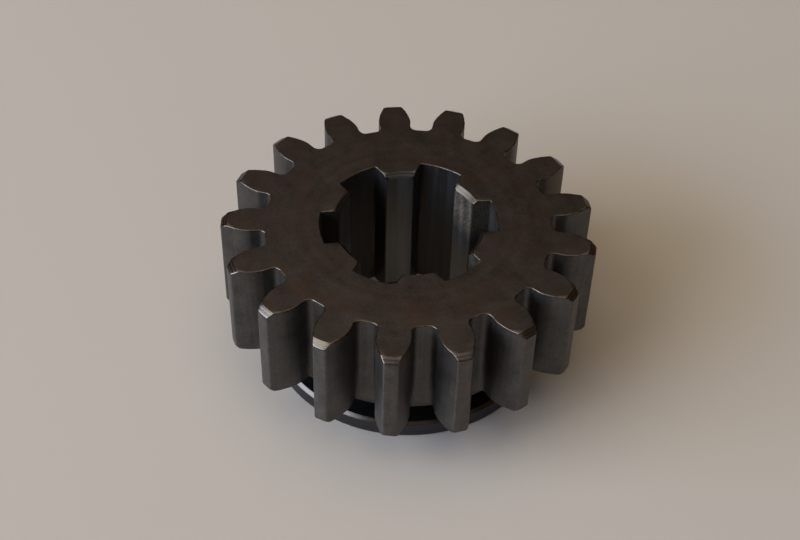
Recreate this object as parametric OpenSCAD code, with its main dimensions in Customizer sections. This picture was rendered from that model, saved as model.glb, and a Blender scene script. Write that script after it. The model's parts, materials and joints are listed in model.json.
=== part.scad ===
// Sliding spur gear for a gearbox, one piece of steel: a toothed rim, a short shoulder, a shift-fork
// groove and a thin collar turned on one blank, with a bore broached for a straight-sided splined shaft.
// The axis is Z. The collar stands on z = 0, the plain face is on top, and one tooth points along +X.

/* [Teeth] */
// Number of teeth
tooth_count = 17; // [15:1:30]
// Module, the pitch diameter divided by the number of teeth (six teeth to an inch of pitch diameter)
tooth_module = 4.2333; // [3.8:0.0001:6]
// Pressure angle of the involute flanks, in degrees
pressure_angle = 20; // [14.5:0.5:25]
// Height of a tooth above the pitch circle, in modules
addendum = 1; // [0.8:0.01:1.1]
// Depth of a tooth space below the pitch circle, in modules
dedendum = 1.25; // [1.2:0.01:1.4]
// Radius of the fillet between a flank and the root
root_fillet = 1.5; // [0.5:0.1:1.8]
// Length of the teeth along the axis
face_width = 23.6; // [12:0.1:40]
// Height of the chamfer on the tooth tips at the plain face
tip_chamfer = 1; // [0.3:0.1:2]
// Width of that chamfer along the radius
tip_chamfer_width = 1.4; // [0.3:0.1:2.4]
// Chamfer on the tooth tips at the fork side
entry_chamfer = 0.7; // [0.3:0.1:3]

/* [Shoulder and fork groove] */
// Length of the shoulder between the teeth and the groove
shoulder_length = 1.4; // [0.6:0.1:6]
// Step from the tooth roots in to the shoulder, so that the cutter can run out
cutter_clearance = 0.2; // [0.1:0.05:1]
// Width of the shift-fork groove along the axis
groove_width = 5.4; // [4.4:0.1:12]
// Diameter of the groove's floor
groove_floor_d = 49; // [44:0.1:51]
// Radius in the two corners of the groove
groove_fillet = 0.8; // [0.2:0.1:1.5]

/* [Collar] */
// Outside diameter of the collar
collar_d = 61.4; // [55:0.1:75]
// Thickness of the collar
collar_thickness = 4.2; // [2.5:0.1:10]
// Chamfer on the collar's rim at the groove
collar_chamfer = 0.7; // [0.2:0.1:1.2]
// Chamfer on the collar's rim at its outer face
foot_chamfer = 0.4; // [0.2:0.1:1]

/* [Splined bore] */
// Number of spline grooves
spline_count = 6; // [4:2:8]
// Diameter across the floors of the spline grooves
spline_major_d = 38.1; // [34:0.1:42]
// Diameter across the lands between the grooves
spline_minor_d = 30.48; // [24:0.01:33]
// Width of a spline groove between its parallel walls
spline_width = 9.525; // [4:0.005:11]
// Turn of the first spline groove from the first tooth, in degrees
spline_clocking = 0; // [0:0.5:60]
// Chamfer on the lands at both ends of the bore
bore_chamfer = 1; // [0.2:0.1:2]

/* [Hidden] */
$fn = 96;

// Radii of the tooth form
pitch_r = tooth_module * tooth_count / 2;
base_r = pitch_r * cos(pressure_angle);
outer_r = pitch_r + addendum * tooth_module;
root_r = pitch_r - dedendum * tooth_module;

// Heights along the axis
shoulder_z = collar_thickness + groove_width;
teeth_z = shoulder_z + shoulder_length;
top_z = teeth_z + face_width;

// Overshoot of every cut past the metal it leaves
cut_over = 1;
// Straight steps along one flank, round one root fillet and round one groove corner
flank_steps = 10;
fillet_steps = 6;
corner_steps = 5;

// Half angle of a tooth space at the base circle
space_half = 90 / tooth_count - involute(pressure_angle);
// A fillet that fills the whole root is the largest that fits between two flanks
fillet_full = root_r * sin(space_half) / (1 - sin(space_half));
fillet_r = min(root_fillet, fillet_full);
fillet_angle = asin(fillet_r / (root_r + fillet_r));
// Roll angle of the involute at the mouth of a space, as a tangent
mouth_roll = sqrt(pow((outer_r + cut_over) / base_r, 2) - 1);

// Involute function, angles in degrees
function involute(a) = tan(a) * 180 / PI - a;

function polar(r, a) = [r * cos(a), r * sin(a)];

// Points of an arc round a centre
function arc(centre, r, from, to, steps) =
    [for (i = [0:steps]) centre + polar(r, from + (to - from) * i / steps)];

// A flank from the mouth of the space in to the base circle
function flank() = [
    for (i = [flank_steps:-1:0])
        let (a = atan(mouth_roll * i / flank_steps))
            polar(base_r / cos(a), space_half + involute(a))
];

// The root fillet, tangent to the radial foot of the flank and to the root circle
function fillet() = arc(
    polar(root_r + fillet_r, space_half - fillet_angle), fillet_r,
    space_half + 90, space_half + 180 - fillet_angle, fillet_steps
);

function mirrored(points) = [for (i = [len(points) - 1:-1:0]) [points[i].x, -points[i].y]];

// Outline of one tooth space, symmetrical about the X axis
module tooth_space() {
    side = concat(flank(), fillet());
    polygon(concat(side, mirrored(side)));
}

// All the tooth spaces, cut through the rim and out beside the shoulder
module tooth_spaces() {
    runout = shoulder_length / 2;
    translate([0, 0, teeth_z - runout])
        linear_extrude(runout + face_width + cut_over)
            for (i = [0:tooth_count - 1])
                rotate((i + 0.5) * 360 / tooth_count)
                    tooth_space();
}

// Blank before the teeth and the bore are cut, turned from one half section
module turned_blank() {
    collar_r = collar_d / 2;
    floor_r = groove_floor_d / 2;
    shoulder_r = root_r - cutter_clearance;
    corner_r = floor_r + groove_fillet;
    collar = [
        [0, 0],
        [collar_r - foot_chamfer, 0],
        [collar_r, foot_chamfer],
        [collar_r, collar_thickness - collar_chamfer],
        [collar_r - collar_chamfer, collar_thickness]
    ];
    groove = concat(
        arc([corner_r, collar_thickness + groove_fillet], groove_fillet, 270, 180, corner_steps),
        arc([corner_r, shoulder_z - groove_fillet], groove_fillet, 180, 90, corner_steps)
    );
    rim = [
        [shoulder_r, shoulder_z],
        [shoulder_r, teeth_z],
        [outer_r - entry_chamfer, teeth_z],
        [outer_r, teeth_z + entry_chamfer],
        [outer_r, top_z - tip_chamfer],
        [outer_r - tip_chamfer_width, top_z],
        [0, top_z]
    ];
    rotate_extrude()
        polygon(concat(collar, groove, rim));
}

// Broached bore: a round hole to the lands, straight grooves out to the major diameter, chamfered lands
module splined_bore() {
    minor_r = spline_minor_d / 2;
    length = top_z + 2 * cut_over;
    translate([0, 0, -cut_over]) {
        cylinder(r = minor_r, h = length);
        intersection() {
            cylinder(d = spline_major_d, h = length);
            for (i = [0:spline_count - 1])
                rotate(spline_clocking + i * 360 / spline_count)
                    translate([0, -spline_width / 2, 0])
                        cube([spline_major_d, spline_width, length]);
        }
    }
    land_chamfer(minor_r);
    translate([0, 0, top_z])
        mirror([0, 0, 1])
            land_chamfer(minor_r);
}

// Cone that breaks the lands' edge at z = 0, opening downwards
module land_chamfer(minor_r) {
    translate([0, 0, -cut_over])
        cylinder(
            r1 = minor_r + bore_chamfer + cut_over,
            r2 = minor_r,
            h = bore_chamfer + cut_over
        );
}

module sliding_gear() {
    color([0.24, 0.22, 0.2])
        difference() {
            turned_blank();
            tooth_spaces();
            splined_bore();
        }
}

sliding_gear();
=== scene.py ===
import json
import math
import bmesh
import bpy
from mathutils import Matrix, Vector, noise


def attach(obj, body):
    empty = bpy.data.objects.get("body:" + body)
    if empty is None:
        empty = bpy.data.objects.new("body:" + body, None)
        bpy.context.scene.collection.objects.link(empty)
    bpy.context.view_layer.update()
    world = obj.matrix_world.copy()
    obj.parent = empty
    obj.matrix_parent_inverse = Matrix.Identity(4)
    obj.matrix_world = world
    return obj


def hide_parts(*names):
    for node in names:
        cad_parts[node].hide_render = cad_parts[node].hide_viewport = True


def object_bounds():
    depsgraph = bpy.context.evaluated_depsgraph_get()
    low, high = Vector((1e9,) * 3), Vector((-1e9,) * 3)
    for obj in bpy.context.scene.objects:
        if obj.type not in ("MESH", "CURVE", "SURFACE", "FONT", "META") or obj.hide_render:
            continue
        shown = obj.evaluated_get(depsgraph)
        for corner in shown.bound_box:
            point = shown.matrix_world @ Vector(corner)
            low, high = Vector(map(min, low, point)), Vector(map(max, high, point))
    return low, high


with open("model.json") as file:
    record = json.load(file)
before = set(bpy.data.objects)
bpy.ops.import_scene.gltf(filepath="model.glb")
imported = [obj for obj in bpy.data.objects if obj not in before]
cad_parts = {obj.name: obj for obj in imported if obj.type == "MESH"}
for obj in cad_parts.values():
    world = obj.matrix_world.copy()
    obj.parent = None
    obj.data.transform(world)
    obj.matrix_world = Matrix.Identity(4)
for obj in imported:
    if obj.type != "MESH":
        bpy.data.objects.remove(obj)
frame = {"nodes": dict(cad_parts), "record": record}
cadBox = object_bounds()
scene = bpy.context.scene
mm = 0.001
mounts = {mount["name"]: mount for mount in frame["record"]["mounts"]}


# helpers

def hexColour(text):
    # sRGB hex to the linear colour that the shaders work in
    channels = [int(text[i:i + 2], 16) / 255 for i in (1, 3, 5)]
    return [c / 12.92 if c <= 0.04045 else ((c + 0.055) / 1.055) ** 2.4 for c in channels] + [1.0]


def addNode(tree, kind, inputs=None, **settings):
    # one node: its settings, then values or links for its sockets
    node = tree.nodes.new(kind)
    for name, value in settings.items():
        setattr(node, name, value)
    for key, value in (inputs or {}).items():
        if isinstance(value, bpy.types.NodeSocket):
            tree.links.new(value, node.inputs[key])
        else:
            node.inputs[key].default_value = value
    return node


def newMaterial(name):
    material = bpy.data.materials.new(name)
    material.use_nodes = True
    material.node_tree.nodes.clear()
    return material, material.node_tree


# camera, set at the photograph's place

cameraPlace = {
    "azimuth": 51.75,               # degrees round the gear's axis
    "elevation": 44.87,
    "roll": 1.63,
    "lens": 67.13,                  # mm, as the sensor
    "sensor": 36.0,
    "clip": (0.01, 20),             # metres
    "faceDepth": 318.4 * mm,        # from the lens to the middle of the plain face, along the view
    "facePixel": (409.0, 221.35),   # where the middle of the plain face lies in the picture
    "picture": (800, 540),
}


def fromPicture(right, back, up):
    # a direction given as the picture sees it, turned into the gear's own axes
    turn = math.radians(cameraPlace["azimuth"])
    x = right * math.cos(turn) - back * math.sin(turn)
    y = right * math.sin(turn) + back * math.cos(turn)
    return Vector((x, y, up))


def placeCamera():
    elevation = math.radians(cameraPlace["elevation"])
    roll = math.radians(cameraPlace["roll"])
    forward = fromPicture(0, math.cos(elevation), -math.sin(elevation))
    levelRight = fromPicture(1, 0, 0)
    levelUp = fromPicture(0, math.sin(elevation), math.cos(elevation))
    right = levelRight * math.cos(roll) + levelUp * math.sin(roll)
    up = levelUp * math.cos(roll) - levelRight * math.sin(roll)
    width, height = cameraPlace["picture"]
    focal = cameraPlace["lens"] / cameraPlace["sensor"] * width
    offX = (cameraPlace["facePixel"][0] - width / 2) / focal
    offY = (height / 2 - cameraPlace["facePixel"][1]) / focal
    face = Vector((0, 0, cadBox[1].z))
    eye = face - (forward + right * offX + up * offY) * cameraPlace["faceDepth"]
    data = bpy.data.cameras.new("photoCamera")
    data.lens = cameraPlace["lens"]
    data.sensor_width = cameraPlace["sensor"]
    data.clip_start, data.clip_end = cameraPlace["clip"]
    camera = bpy.data.objects.new("photoCamera", data)
    camera.matrix_world = Matrix.Translation(eye) @ Matrix((right, up, -forward)).transposed().to_4x4()
    scene.collection.objects.link(camera)
    scene.camera = camera


placeCamera()
print("camera placed")


# floor and light

stageLook = {
    "floorColour": "#b2aaa3",
    "floorHalf": 3.0,               # metres
    "worldColour": "#594a34",
    "worldStrength": 1.0,
}


def buildFloor():
    bm = bmesh.new()
    bmesh.ops.create_grid(bm, x_segments=1, y_segments=1, size=stageLook["floorHalf"])
    mesh = bpy.data.meshes.new("paleFloor")
    bm.to_mesh(mesh)
    bm.free()
    material, tree = newMaterial("matt pale card")
    shader = addNode(tree, "ShaderNodeBsdfPrincipled", {
        "Base Color": hexColour(stageLook["floorColour"]), "Roughness": 1.0, "Specular IOR Level": 0.0})
    addNode(tree, "ShaderNodeOutputMaterial", {"Surface": shader.outputs[0]})
    mesh.materials.append(material)
    floor = bpy.data.objects.new("paleFloor", mesh)
    scene.collection.objects.link(floor)


# azimuths run from the picture's right by its back to its left, distances and sizes are in metres
lamps = {
    "coolWindow": {"azimuth": 206, "elevation": 24, "distance": 2.2, "size": (2.3, 1.0), "power": 73.6,
                   "colour": "#d3e5ff"},
    "upperLeft": {"azimuth": 198, "elevation": 49, "distance": 1.7, "size": (1.1, 0.6), "power": 8.3,
                  "colour": "#fdfff2"},
    "warmCeiling": {"azimuth": 180, "elevation": 88, "distance": 2.0, "size": (2.0, 2.0), "power": 16.1,
                    "colour": "#ffefd2"},
    "coolFront": {"azimuth": 284, "elevation": 48, "distance": 2.0, "size": (2.4, 1.6), "power": 3.1,
                  "colour": "#eaedff"},
    "warmBack": {"azimuth": 130, "elevation": 58, "distance": 2.0, "size": (1.6, 1.2), "power": 2.0,
                 "colour": "#ffdfc9"},
}


def lightScene():
    for name, lamp in lamps.items():
        data = bpy.data.lights.new(name, "AREA")
        data.shape = "RECTANGLE"
        data.size, data.size_y = lamp["size"]
        data.energy = lamp["power"]
        data.color = hexColour(lamp["colour"])[:3]
        light = bpy.data.objects.new(name, data)
        azimuth = math.radians(lamp["azimuth"])
        elevation = math.radians(lamp["elevation"])
        level = math.cos(elevation)
        away = fromPicture(level * math.cos(azimuth), level * math.sin(azimuth), math.sin(elevation))
        light.location = away * lamp["distance"] + Vector((0, 0, cadBox[1].z / 2))
        light.rotation_mode = "QUATERNION"
        light.rotation_quaternion = away.to_track_quat("Z", "Y")
        scene.collection.objects.link(light)
    world = bpy.data.worlds.new("dimRoom")
    world.use_nodes = True
    background = world.node_tree.nodes["Background"]
    background.inputs["Color"].default_value = hexColour(stageLook["worldColour"])
    background.inputs["Strength"].default_value = stageLook["worldStrength"]
    scene.world = world
    scene.view_settings.view_transform = "Standard"


buildFloor()
lightScene()
print("floor and lamps ready")


# gear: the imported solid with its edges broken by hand

gearMesh = {
    "mergeWithin": 0.001 * mm,
    "flatWithin": 0.4,              # degrees between facets that are one flat face
    "creaseFrom": 28.0,             # degrees at which an edge is crisp, as on the turned chamfers
    "sharpFrom": 48.0,              # degrees at which it is broken
    "edgeBreak": 0.25 * mm,
    "edgeStep": 0.7 * mm,           # spacing of the points along the edges of the plain face
    "waver": 0.09 * mm,             # how far a broken edge wanders
    "waverLength": 1.7 * mm,
    "waverDepth": 1.05,             # depth below the plain face down to which it does, in edge breaks
    "waverFrom": 17 * mm,           # radii between which it does, clear of the chamfers
    "waverTo": 38 * mm,
    "slantFrom": 0.2,               # upright part of a normal: from here a facet slants, as a chamfer does
    "slantTo": 0.9,
    "levelFrom": 0.99,              # and from here it is level
    "levelStep": 0.01 * mm,         # heights this close are one level
    "boreReach": 19.6 * mm,         # radius that takes in the spline grooves
    "rootReach": 31.2 * mm,         # radius just outside the tooth roots
    "collarReach": 29.5 * mm,       # radius just inside the collar's chamfers
    "tipBand": 0.3 * mm,            # depth below the largest radius that counts as a tooth tip
    "rimBand": 1.8 * mm,            # height below the plain face that takes in its chamfers
}
surfaces = ["face", "flank", "tip", "chamfer", "boreChamfer", "land", "slot", "collar", "rim", "edge"]
topHeight = cadBox[1].z
teethFoot = mounts["tooth_mesh"]["pos_m"][2] - mounts["tooth_mesh"]["dims"]["length_mm"] * mm / 2
landRadius = mounts["splined_bore"]["dims"]["r_mm"] * mm
near = 0.05 * mm                    # slack when heights and radii are compared


def placeOf(face):
    # radius, height and slope of a facet
    middle = face.calc_center_median()
    return math.hypot(middle.x, middle.y), middle.z, abs(face.normal.z)


def surfaceOf(face):
    # which machined surface a facet belongs to, from its slope and place
    radius, height, slope = placeOf(face)
    slants = slope > gearMesh["slantFrom"]
    if slope > gearMesh["levelFrom"] and (height > topHeight - near or height < near):
        return "face"
    if radius < gearMesh["boreReach"]:
        if slants:
            return "boreChamfer"
        return "land" if radius < landRadius + near else "slot"
    if height < teethFoot + near:
        atCorner = radius > gearMesh["collarReach"]
        return "rim" if slants and slope < gearMesh["slantTo"] and atCorner else "collar"
    if slants:
        return "chamfer"
    return "tip" if radius > cadBox[1].x - gearMesh["tipBand"] else "flank"


def brokenSurfaceOf(face):
    # a broken edge is bare on the plain face's outlines, and elsewhere looks like its neighbours
    radius, height, slope = placeOf(face)
    atRim = height > topHeight - gearMesh["rimBand"]
    if height > topHeight - gearMesh["edgeBreak"] - near:
        return "edge"
    if radius < gearMesh["boreReach"]:
        return "boreChamfer" if atRim else "slot"
    if height < teethFoot - near:
        return "collar"
    return "chamfer" if slope > gearMesh["slantFrom"] and atRim else "tip"


def isBroken(edge):
    # sharp outer edges, but not the feet of the tooth roots, which run out on the shoulder,
    # and not the lower end of the bore, where the broach left them keen
    if not edge.is_manifold or not edge.is_convex:
        return False
    if edge.calc_face_angle(0) < math.radians(gearMesh["sharpFrom"]):
        return False
    reach = max(v.co.xy.length for v in edge.verts)
    atFoot = all(abs(v.co.z - teethFoot) < near for v in edge.verts)
    atBottom = all(v.co.z < near for v in edge.verts)
    rootFoot = atFoot and reach < gearMesh["rootReach"]
    boreEnd = atBottom and reach < gearMesh["boreReach"]
    return not rootFoot and not boreEnd


def splitTopEdges(bm, edges):
    # points along the edges of the plain face, so that a broken edge can wander
    for edge in edges:
        if min(v.co.z for v in edge.verts) > topHeight - gearMesh["levelStep"]:
            cuts = int(edge.calc_length() / gearMesh["edgeStep"])
            if cuts:
                bmesh.ops.bisect_edges(bm, edges=[edge], cuts=cuts)


def waverEdges(bm, faces):
    # the break grows and shrinks along the edge: its upper row slides in the face, its lower row up and down
    for vert in {v for f in faces for v in f.verts}:
        depth = (topHeight - vert.co.z) / gearMesh["edgeBreak"]
        between = gearMesh["waverFrom"] < vert.co.xy.length < gearMesh["waverTo"]
        if depth > gearMesh["waverDepth"] or not between:
            continue
        shift = noise.noise_vector(vert.co / gearMesh["waverLength"]) * gearMesh["waver"]
        vert.co += Vector((shift.x, shift.y, 0)) * max(0, 1 - depth) + Vector((0, 0, shift.z)) * depth


def refillFlats(bm):
    # every level face anew between its outlines, with clean triangles
    flats = {}
    for face in bm.faces:
        if abs(face.normal.z) > gearMesh["levelFrom"]:
            level = round(face.calc_center_median().z / gearMesh["levelStep"])
            flats.setdefault((level, face.normal.z > 0, face.material_index), []).append(face)
    for (_, upward, surface), old in flats.items():
        inside = set(old)
        rim = [e for e in bm.edges if sum(f in inside for f in e.link_faces) == 1]
        bmesh.ops.delete(bm, geom=old, context="FACES")
        outlines = [e for e in rim if e.is_valid]
        normal = (0, 0, 1 if upward else -1)
        filled = bmesh.ops.triangle_fill(bm, use_beauty=True, edges=outlines, normal=normal)
        for face in [f for f in filled["geom"] if isinstance(f, bmesh.types.BMFace)]:
            face.material_index = surface
            if (face.normal.z > 0) != upward:
                face.normal_flip()


def buildGear():
    source = frame["nodes"]["sliding_gear"]
    bm = bmesh.new()
    bm.from_mesh(source.data)
    bmesh.ops.remove_doubles(bm, verts=bm.verts, dist=gearMesh["mergeWithin"])
    flat = math.radians(gearMesh["flatWithin"])
    upright = [e for e in bm.edges if all(abs(f.normal.z) < gearMesh["levelFrom"] for f in e.link_faces)]
    bmesh.ops.dissolve_limit(bm, angle_limit=flat, verts=bm.verts, edges=upright)
    for face in bm.faces:
        face.material_index = surfaces.index(surfaceOf(face))
    for edge in bm.edges:
        edge.smooth = edge.calc_face_angle(0) < math.radians(gearMesh["creaseFrom"])
    splitTopEdges(bm, [e for e in bm.edges if isBroken(e)])
    broken = [e for e in bm.edges if isBroken(e)]
    made = bmesh.ops.bevel(bm, geom=broken, offset=gearMesh["edgeBreak"], offset_type="OFFSET", segments=2,
                           profile=0.5, affect="EDGES", clamp_overlap=False, loop_slide=False, material=-1)
    for face in made["faces"]:
        face.material_index = surfaces.index(brokenSurfaceOf(face))
        for edge in face.edges:
            edge.smooth = True
    waverEdges(bm, made["faces"])
    refillFlats(bm)
    for face in bm.faces:
        face.smooth = True
    mesh = bpy.data.meshes.new("gearSteel")
    bm.to_mesh(mesh)
    print("gear:", len(bm.faces), "faces,", sum(not e.is_manifold for e in bm.edges), "open edges")
    bm.free()
    gear = bpy.data.objects.new("gearSteel", mesh)
    scene.collection.objects.link(gear)
    weighted = gear.modifiers.new("evenNormals", "WEIGHTED_NORMAL")
    weighted.keep_sharp = True
    return gear


gear = buildGear()


# steel: one metal, with the marks that each cutting tool left on it

# sizes of marks are in millimetres, and each look gives its roughness from its dark parts to its light ones
# a mix node takes its share at socket 0 and its two sides at 2 and 3, or at 6 and 7 for colours
noiseSpan = {"From Min": 0.32, "From Max": 0.68}    # values of mixed noise that are darkest and lightest
lineSpan = {"From Min": 0.3, "From Max": 0.7}       # the same for a single noise


def millimetres(tree):
    # a point of the gear in millimetres from the middle of its collar's face
    place = addNode(tree, "ShaderNodeTexCoord")
    return addNode(tree, "ShaderNodeVectorMath", {0: place.outputs["Object"], 1: [1 / mm] * 3},
                   operation="MULTIPLY").outputs[0]


def radiusOf(tree, point):
    level = addNode(tree, "ShaderNodeVectorMath", {0: point, 1: (1, 1, 0)}, operation="MULTIPLY")
    return addNode(tree, "ShaderNodeVectorMath", {0: level.outputs[0]}, operation="LENGTH").outputs["Value"]


def ridgesRound(tree, radius, pitch):
    # tool marks in even rings: their height, and the same from 0 to 1 for the tone
    turns = addNode(tree, "ShaderNodeMath", {0: radius, 1: 2 * math.pi / pitch}, operation="MULTIPLY")
    wave = addNode(tree, "ShaderNodeMath", {0: turns.outputs[0]}, operation="SINE").outputs[0]
    tone = addNode(tree, "ShaderNodeMapRange", {"Value": wave, "From Min": -1.0, "From Max": 1.0})
    return wave, tone.outputs[0]


def linesAlong(tree, point, streak, detail):
    # noise drawn out into lines, with the length of its grain along each axis
    drawn = addNode(tree, "ShaderNodeVectorMath", {0: point, 1: streak}, operation="DIVIDE")
    return addNode(tree, "ShaderNodeTexNoise", {
        "Vector": drawn.outputs[0], "Scale": 1.0, "Detail": detail}).outputs[0]


def steel(tree, look, pattern, height=None, patch=None):
    # tone and roughness follow one pattern, a second one raises the tool marks, and a patch stains the tone
    tone = addNode(tree, "ShaderNodeMix", {
        0: pattern, 6: hexColour(look["dark"]), 7: hexColour(look["light"])}, data_type="RGBA").outputs[2]
    if patch:
        tone = addNode(tree, "ShaderNodeMix", {
            0: patch[0], 6: tone, 7: hexColour(patch[1])}, data_type="RGBA").outputs[2]
    rough = addNode(tree, "ShaderNodeMapRange", {
        "Value": pattern, "To Min": look["rough"][0], "To Max": look["rough"][1]})
    sockets = {"Base Color": tone, "Metallic": 1.0, "Roughness": rough.outputs[0]}
    if "brushed" in look:
        # the tool marks run round the axis, so light spreads up and down across them, a quarter turn away
        around = addNode(tree, "ShaderNodeTangent", direction_type="RADIAL", axis="Z")
        sockets["Anisotropic"] = look["brushed"]
        sockets["Anisotropic Rotation"] = 0.25
        sockets["Tangent"] = around.outputs[0]
    if height:
        bump = addNode(tree, "ShaderNodeBump", {
            "Height": height, "Strength": 1.0, "Distance": look["relief"] * mm})
        sockets["Normal"] = bump.outputs[0]
    shader = addNode(tree, "ShaderNodeBsdfPrincipled", sockets)
    addNode(tree, "ShaderNodeOutputMaterial", {"Surface": shader.outputs[0]})


faceLook = {
    "dark": "#454244", "light": "#5b585b", "rough": (0.34, 0.42), "relief": 0.002,
    "band": 1.6, "feed": 0.35, "stain": 4.5, "stainShare": 0.8, "grain": 0.5, "grainShare": 0.35,
    "rust": "#5c4e48", "rustSize": 6.0, "rustSpan": {"From Min": 0.45, "From Max": 0.7, "To Max": 0.6},
}


def turnedFace():
    # faced on a lathe and browned by hot oil: dull, in faint rings and clouds, grainy, redder in places
    material, tree = newMaterial("turned steel face, oil-browned")
    point = millimetres(tree)
    radius = radiusOf(tree, point)
    rings = addNode(tree, "ShaderNodeTexNoise", {
        "W": radius, "Scale": 1 / faceLook["band"], "Detail": 3.0}, noise_dimensions="1D")
    clouds = addNode(tree, "ShaderNodeTexNoise", {
        "Vector": point, "Scale": 1 / faceLook["stain"], "Detail": 5.0, "Roughness": 0.62})
    both = addNode(tree, "ShaderNodeMix", {
        0: faceLook["stainShare"], 2: rings.outputs[0], 3: clouds.outputs[0]})
    grain = addNode(tree, "ShaderNodeTexNoise", {
        "Vector": point, "Scale": 1 / faceLook["grain"], "Detail": 2.0})
    mottle = addNode(tree, "ShaderNodeMix", {
        0: faceLook["grainShare"], 2: both.outputs[0], 3: grain.outputs[0]})
    pattern = addNode(tree, "ShaderNodeMapRange", {"Value": mottle.outputs[0], **noiseSpan})
    feed = addNode(tree, "ShaderNodeTexNoise", {
        "W": radius, "Scale": 1 / faceLook["feed"], "Detail": 1.0}, noise_dimensions="1D")
    browns = addNode(tree, "ShaderNodeTexNoise", {
        "Vector": point, "Scale": 1 / faceLook["rustSize"], "Detail": 4.0, "Roughness": 0.6})
    rust = addNode(tree, "ShaderNodeMapRange", {"Value": browns.outputs[0], **faceLook["rustSpan"]})
    steel(tree, faceLook, pattern.outputs[0], feed.outputs[0], (rust.outputs[0], faceLook["rust"]))
    return material


flankLook = {
    "dark": "#474544", "light": "#696664", "rough": (0.44, 0.56), "relief": 0.003,
    "streak": (0.5, 0.5, 14.0), "speck": 0.45, "speckShare": 0.6, "smudge": 5.0, "smudgeShare": 0.45,
}


def cutFlank():
    # cut along the axis and rubbed in use: satin, with smudges and fine specks
    material, tree = newMaterial("cut steel flank, satin")
    point = millimetres(tree)
    streaks = linesAlong(tree, point, flankLook["streak"], detail=2.0)
    specks = addNode(tree, "ShaderNodeTexNoise", {
        "Vector": point, "Scale": 1 / flankLook["speck"], "Detail": 2.0})
    smudges = addNode(tree, "ShaderNodeTexNoise", {
        "Vector": point, "Scale": 1 / flankLook["smudge"], "Detail": 4.0})
    fine = addNode(tree, "ShaderNodeMix", {0: flankLook["speckShare"], 2: streaks, 3: specks.outputs[0]})
    both = addNode(tree, "ShaderNodeMix", {
        0: flankLook["smudgeShare"], 2: fine.outputs[0], 3: smudges.outputs[0]})
    pattern = addNode(tree, "ShaderNodeMapRange", {"Value": both.outputs[0], **noiseSpan})
    steel(tree, flankLook, pattern.outputs[0], fine.outputs[0])
    return material


tipLook = {
    "dark": "#4c4948", "light": "#6a6664", "rough": (0.38, 0.48), "relief": 0.002, "brushed": 0.6,
    "streak": (1.2, 1.2, 8.0), "blotch": 2.5, "blotchShare": 0.6, "grain": 0.45, "grainShare": 0.35,
}


def turnedTip():
    # turned on the blank before the teeth were cut, then handled: lighter, with soft upright smears
    material, tree = newMaterial("turned steel tooth tip")
    point = millimetres(tree)
    smears = linesAlong(tree, point, tipLook["streak"], detail=2.0)
    blotches = addNode(tree, "ShaderNodeTexNoise", {
        "Vector": point, "Scale": 1 / tipLook["blotch"], "Detail": 4.0, "Roughness": 0.6})
    both = addNode(tree, "ShaderNodeMix", {0: tipLook["blotchShare"], 2: smears, 3: blotches.outputs[0]})
    grain = addNode(tree, "ShaderNodeTexNoise", {
        "Vector": point, "Scale": 1 / tipLook["grain"], "Detail": 2.0})
    mottle = addNode(tree, "ShaderNodeMix", {
        0: tipLook["grainShare"], 2: both.outputs[0], 3: grain.outputs[0]})
    pattern = addNode(tree, "ShaderNodeMapRange", {"Value": mottle.outputs[0], **noiseSpan})
    steel(tree, tipLook, pattern.outputs[0], blotches.outputs[0])
    return material


chamferLook = {"dark": "#544e4b", "light": "#5f5854", "rough": (0.22, 0.30), "relief": 0.003, "ridge": 0.62}


def turnedChamfer():
    # a coarse cut on the lathe: two or three rings, bright only where they catch the window
    material, tree = newMaterial("turned steel chamfer, ridged")
    radius = radiusOf(tree, millimetres(tree))
    ridges, pattern = ridgesRound(tree, radius, chamferLook["ridge"])
    steel(tree, chamferLook, pattern, ridges)
    return material


# bare within the core, oily again past the reach
wornPlaces = [
    {"middle": (1.0, 15.6, 30.5), "core": 4.0, "reach": 8.5},
    {"middle": (17.0, 4.8, 34.0), "core": 2.5, "reach": 6.0},
]
scratches = {
    "size": (0.35, 0.35, 1.4),
    "slant": 35,                    # degrees
    "span": {"From Min": 0.35, "From Max": 0.6, "To Min": 0.35},
}


def wornBare(tree, point):
    # how bare a point is: two sides of the bore's mouth are rubbed in slanting scratches
    worn = 0.0
    for place in wornPlaces:
        apart = addNode(tree, "ShaderNodeVectorMath", {0: point, 1: place["middle"]}, operation="DISTANCE")
        patch = addNode(tree, "ShaderNodeMapRange", {
            "Value": apart.outputs["Value"], "From Min": place["reach"], "From Max": place["core"]})
        larger = addNode(tree, "ShaderNodeMath", {0: patch.outputs[0], 1: worn}, operation="MAXIMUM")
        worn = larger.outputs[0]
    slant = addNode(tree, "ShaderNodeMapping", {
        "Vector": point, "Rotation": (0.0, math.radians(scratches["slant"]), 0.0)}, vector_type="TEXTURE")
    marks = linesAlong(tree, slant.outputs[0], scratches["size"], detail=2.0)
    bare = addNode(tree, "ShaderNodeMapRange", {"Value": marks, **scratches["span"]})
    return addNode(tree, "ShaderNodeMath", {0: worn, 1: bare.outputs[0]}, operation="MULTIPLY").outputs[0]


boreChamferLook = {
    "dark": "#413e3c", "light": "#4f4c49", "rough": (0.32, 0.42), "relief": 0.004, "ridge": 0.5,
    "bare": "#54493f",
}


def turnedBoreChamfer():
    # the same coarse cut at the ends of the bore, dark with oil but for the worn places
    material, tree = newMaterial("turned steel bore chamfer, oily")
    point = millimetres(tree)
    ridges, pattern = ridgesRound(tree, radiusOf(tree, point), boreChamferLook["ridge"])
    steel(tree, boreChamferLook, pattern, ridges, (wornBare(tree, point), boreChamferLook["bare"]))
    return material


landLook = {
    "dark": "#787b80", "light": "#8e9196", "rough": (0.36, 0.46), "relief": 0.003,
    "streak": (1.5, 1.5, 30.0), "bare": "#e2d0be",
}
slotLook = {
    "dark": "#504f51", "light": "#5e5d5f", "rough": (0.42, 0.52), "relief": 0.003,
    "streak": (1.5, 1.5, 30.0), "bare": "#8a8276",
}


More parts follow.
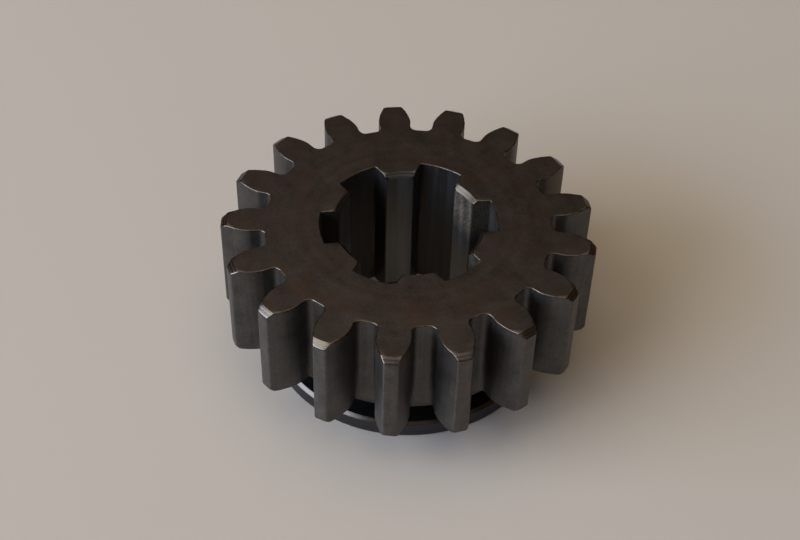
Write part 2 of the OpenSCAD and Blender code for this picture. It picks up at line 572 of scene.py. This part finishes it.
def broached(name, look):
    # faintly lined along the axis: lands rubbed light, slots dark with oil, and both bare in the worn places
    material, tree = newMaterial(name)
    point = millimetres(tree)
    lines = linesAlong(tree, point, look["streak"], detail=3.0)
    pattern = addNode(tree, "ShaderNodeMapRange", {"Value": lines, **lineSpan})
    steel(tree, look, pattern.outputs[0], lines, (wornBare(tree, point), look["bare"]))
    return material


collarLook = {"dark": "#464547", "light": "#545355", "rough": (0.40, 0.50), "relief": 0.003, "feed": 0.5}
rimLook = {"dark": "#433d38", "light": "#504942", "rough": (0.20, 0.27), "relief": 0.002, "feed": 0.5}


def turnedRound(name, look):
    # faint level lines: the collar satin, its corners cut finer, so they shine where they face the window
    material, tree = newMaterial(name)
    level = addNode(tree, "ShaderNodeSeparateXYZ", {0: millimetres(tree)})
    lines = addNode(tree, "ShaderNodeTexNoise", {
        "W": level.outputs["Z"], "Scale": 1 / look["feed"], "Detail": 2.0}, noise_dimensions="1D")
    pattern = addNode(tree, "ShaderNodeMapRange", {"Value": lines.outputs[0], **lineSpan})
    steel(tree, look, pattern.outputs[0], lines.outputs[0])
    return material


edgeLook = {"dark": "#47423d", "light": "#5f5851", "rough": (0.24, 0.34), "rub": 1.2}


def brokenEdge():
    # broken with a file and rubbed bare: brighter than the faces, unevenly
    material, tree = newMaterial("filed steel edge")
    rubs = addNode(tree, "ShaderNodeTexNoise", {
        "Vector": millimetres(tree), "Scale": 1 / edgeLook["rub"], "Detail": 2.0})
    pattern = addNode(tree, "ShaderNodeMapRange", {"Value": rubs.outputs[0], **lineSpan})
    steel(tree, edgeLook, pattern.outputs[0])
    return material


steels = {
    "face": turnedFace(),
    "flank": cutFlank(),
    "tip": turnedTip(),
    "chamfer": turnedChamfer(),
    "boreChamfer": turnedBoreChamfer(),
    "land": broached("broached steel land, rubbed", landLook),
    "slot": broached("broached steel slot, oily", slotLook),
    "collar": turnedRound("turned steel collar", collarLook),
    "rim": turnedRound("turned steel rim, glossy", rimLook),
    "edge": brokenEdge(),
}
for surface in surfaces:
    gear.data.materials.append(steels[surface])
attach(gear, "root")
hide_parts("sliding_gear")
print("steel on")

print("finished")
